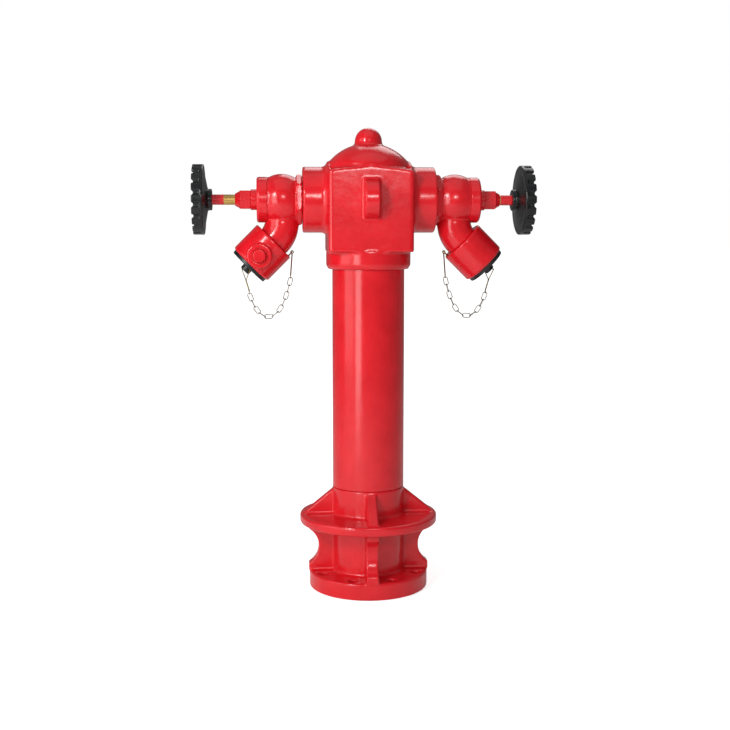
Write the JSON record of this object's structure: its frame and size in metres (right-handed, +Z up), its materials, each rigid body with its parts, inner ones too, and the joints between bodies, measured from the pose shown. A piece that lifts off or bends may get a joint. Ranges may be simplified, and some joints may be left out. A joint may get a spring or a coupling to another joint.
{
  "type": "fire hydrant",
  "caption": "Pillar fire hydrant: red iron column on a ribbed flanged base, domed square head, oblique screw-down valves with black handwheels, capped angled hose outlets and cap chains.",
  "frame": {"origin": "centre of the base flange's underside, on the column's axis", "axes": "+Z up along the column; the front, with the lug, faces -Y; the valves' common axis runs along X"},
  "size_m": [0.7982, 0.33, 1.095],
  "materials": {
    "red_enamel": "glossy brushed enamel on cast iron",
    "black_enamel": "satin black enamel on cast iron",
    "black_cap": "semi-gloss moulded plastic",
    "brass": "turned, slightly dulled",
    "gunmetal": "machined bronze",
    "steel": "bright zinc plate",
    "rubber": "matt",
    "packing": "graphited braid"
  },
  "bodies": {
    "column": {"base_casting": "red_enamel", "barrel": "red_enamel", "head_casting": "red_enamel", "left_valve_body": "red_enamel", "left_inlet_washer": "rubber", "left_seat_ring": "gunmetal", "left_bonnet_gasket": "rubber", "left_bonnet": "red_enamel", "left_gland_packing": "packing", "left_gland_nut": "red_enamel", "left_coupling": "red_enamel", "left_coupling_seal": "rubber", "left_plunger_spring": "steel", "left_plunger_gland": "brass", "left_chain_eye": "steel", "right_valve_body": "red_enamel", "right_inlet_washer": "rubber", "right_seat_ring": "gunmetal", "right_bonnet_gasket": "rubber", "right_bonnet": "red_enamel", "right_gland_packing": "packing", "right_gland_nut": "red_enamel", "right_coupling": "red_enamel", "right_coupling_seal": "rubber", "right_plunger_spring": "steel", "right_plunger_gland": "brass", "right_chain_eye": "steel"},
    "left_disc_set": {"left_valve_disc": "gunmetal", "left_disc_washer": "rubber", "left_disc_nut": "brass", "left_swivel_nut": "brass"},
    "left_wheel_set": {"left_stem": "brass", "left_handwheel": "black_enamel", "left_wheel_washer": "steel", "left_wheel_nut": "steel"},
    "left_plunger": {"left_release_plunger": "red_enamel"},
    "left_cap": {"left_blank_cap": "black_cap"},
    "left_chain_valve_side": {"left_chain_hook": "brass", "left_chain_valve_half": "steel"},
    "left_chain_cap_side": {"left_cap_loop": "brass", "left_chain_cap_half": "steel"},
    "right_disc_set": {"right_valve_disc": "gunmetal", "right_disc_washer": "rubber", "right_disc_nut": "brass", "right_swivel_nut": "brass"},
    "right_wheel_set": {"right_stem": "brass", "right_handwheel": "black_enamel", "right_wheel_washer": "steel", "right_wheel_nut": "steel"},
    "right_plunger": {"right_release_plunger": "red_enamel"},
    "right_cap": {"right_blank_cap": "black_cap"},
    "right_chain_valve_side": {"right_chain_hook": "brass", "right_chain_valve_half": "steel"},
    "right_chain_cap_side": {"right_cap_loop": "brass", "right_chain_cap_half": "steel"}
  },
  "joints": [
    {"name": "left_disc_lift", "type": "slide", "parent": "column", "child": "left_disc_set", "axis": [-1, 0, 0], "range_m": [-0.02401, 0]},
    {"name": "left_wheel_turn", "type": "hinge", "parent": "left_disc_set", "child": "left_wheel_set", "pos_m": [-0.3, 0, 0.928], "axis": [-1, 0, 0], "range_deg": [-1440, 0]},
    {"name": "left_plunger_pull", "type": "slide", "parent": "column", "child": "left_plunger", "axis": [0, -1, 0], "range_m": [0, 0.004], "stiffness_N_per_m": 1200, "springref_m": -0.003, "deforming": ["left_plunger_spring"]},
    {"name": "left_cap_pull", "type": "slide", "parent": "column", "child": "left_cap", "axis": [-0.7071, 0, -0.7071], "range_m": [0, 0.018]},
    {"name": "left_hook_swing", "type": "hinge", "parent": "column", "child": "left_chain_valve_side", "pos_m": [-0.17996, 0, 0.80666], "axis": [0, -1, 0], "range_deg": [0, 2.75]},
    {"name": "left_loop_swing", "type": "hinge", "parent": "left_cap", "child": "left_chain_cap_side", "pos_m": [-0.28871, 0, 0.76579], "axis": [0, -1, 0], "range_deg": [0, 10.65]},
    {"name": "right_disc_lift", "type": "slide", "parent": "column", "child": "right_disc_set", "axis": [1, 0, 0], "range_m": [0, 0.02401]},
    {"name": "right_wheel_turn", "type": "hinge", "parent": "right_disc_set", "child": "right_wheel_set", "pos_m": [0.3, 0, 0.928], "axis": [1, 0, 0], "range_deg": [0, 1440]},
    {"name": "right_plunger_pull", "type": "slide", "parent": "column", "child": "right_plunger", "axis": [0, 1, 0], "range_m": [0, 0.004], "stiffness_N_per_m": 1200, "springref_m": -0.003, "deforming": ["right_plunger_spring"]},
    {"name": "right_cap_pull", "type": "slide", "parent": "column", "child": "right_cap", "axis": [0.7071, 0, -0.7071], "range_m": [0, 0.018]},
    {"name": "right_hook_swing", "type": "hinge", "parent": "column", "child": "right_chain_valve_side", "pos_m": [0.17996, 0, 0.80666], "axis": [0, 1, 0], "range_deg": [0, 2.75]},
    {"name": "right_loop_swing", "type": "hinge", "parent": "right_cap", "child": "right_chain_cap_side", "pos_m": [0.28871, 0, 0.76579], "axis": [0, 1, 0], "range_deg": [0, 10.65]}
  ],
  "couplings": [
    {"joint": "left_disc_lift", "follows": "left_wheel_turn", "m_per_rad": 0.00095493},
    {"joint": "left_hook_swing", "follows": "left_cap_pull", "rad_per_m": 2.6414},
    {"joint": "left_loop_swing", "follows": "left_cap_pull", "rad_per_m": 10.305},
    {"joint": "right_disc_lift", "follows": "right_wheel_turn", "m_per_rad": 0.00095493},
    {"joint": "right_hook_swing", "follows": "right_cap_pull", "rad_per_m": 2.6414},
    {"joint": "right_loop_swing", "follows": "right_cap_pull", "rad_per_m": 10.305}
  ]
}
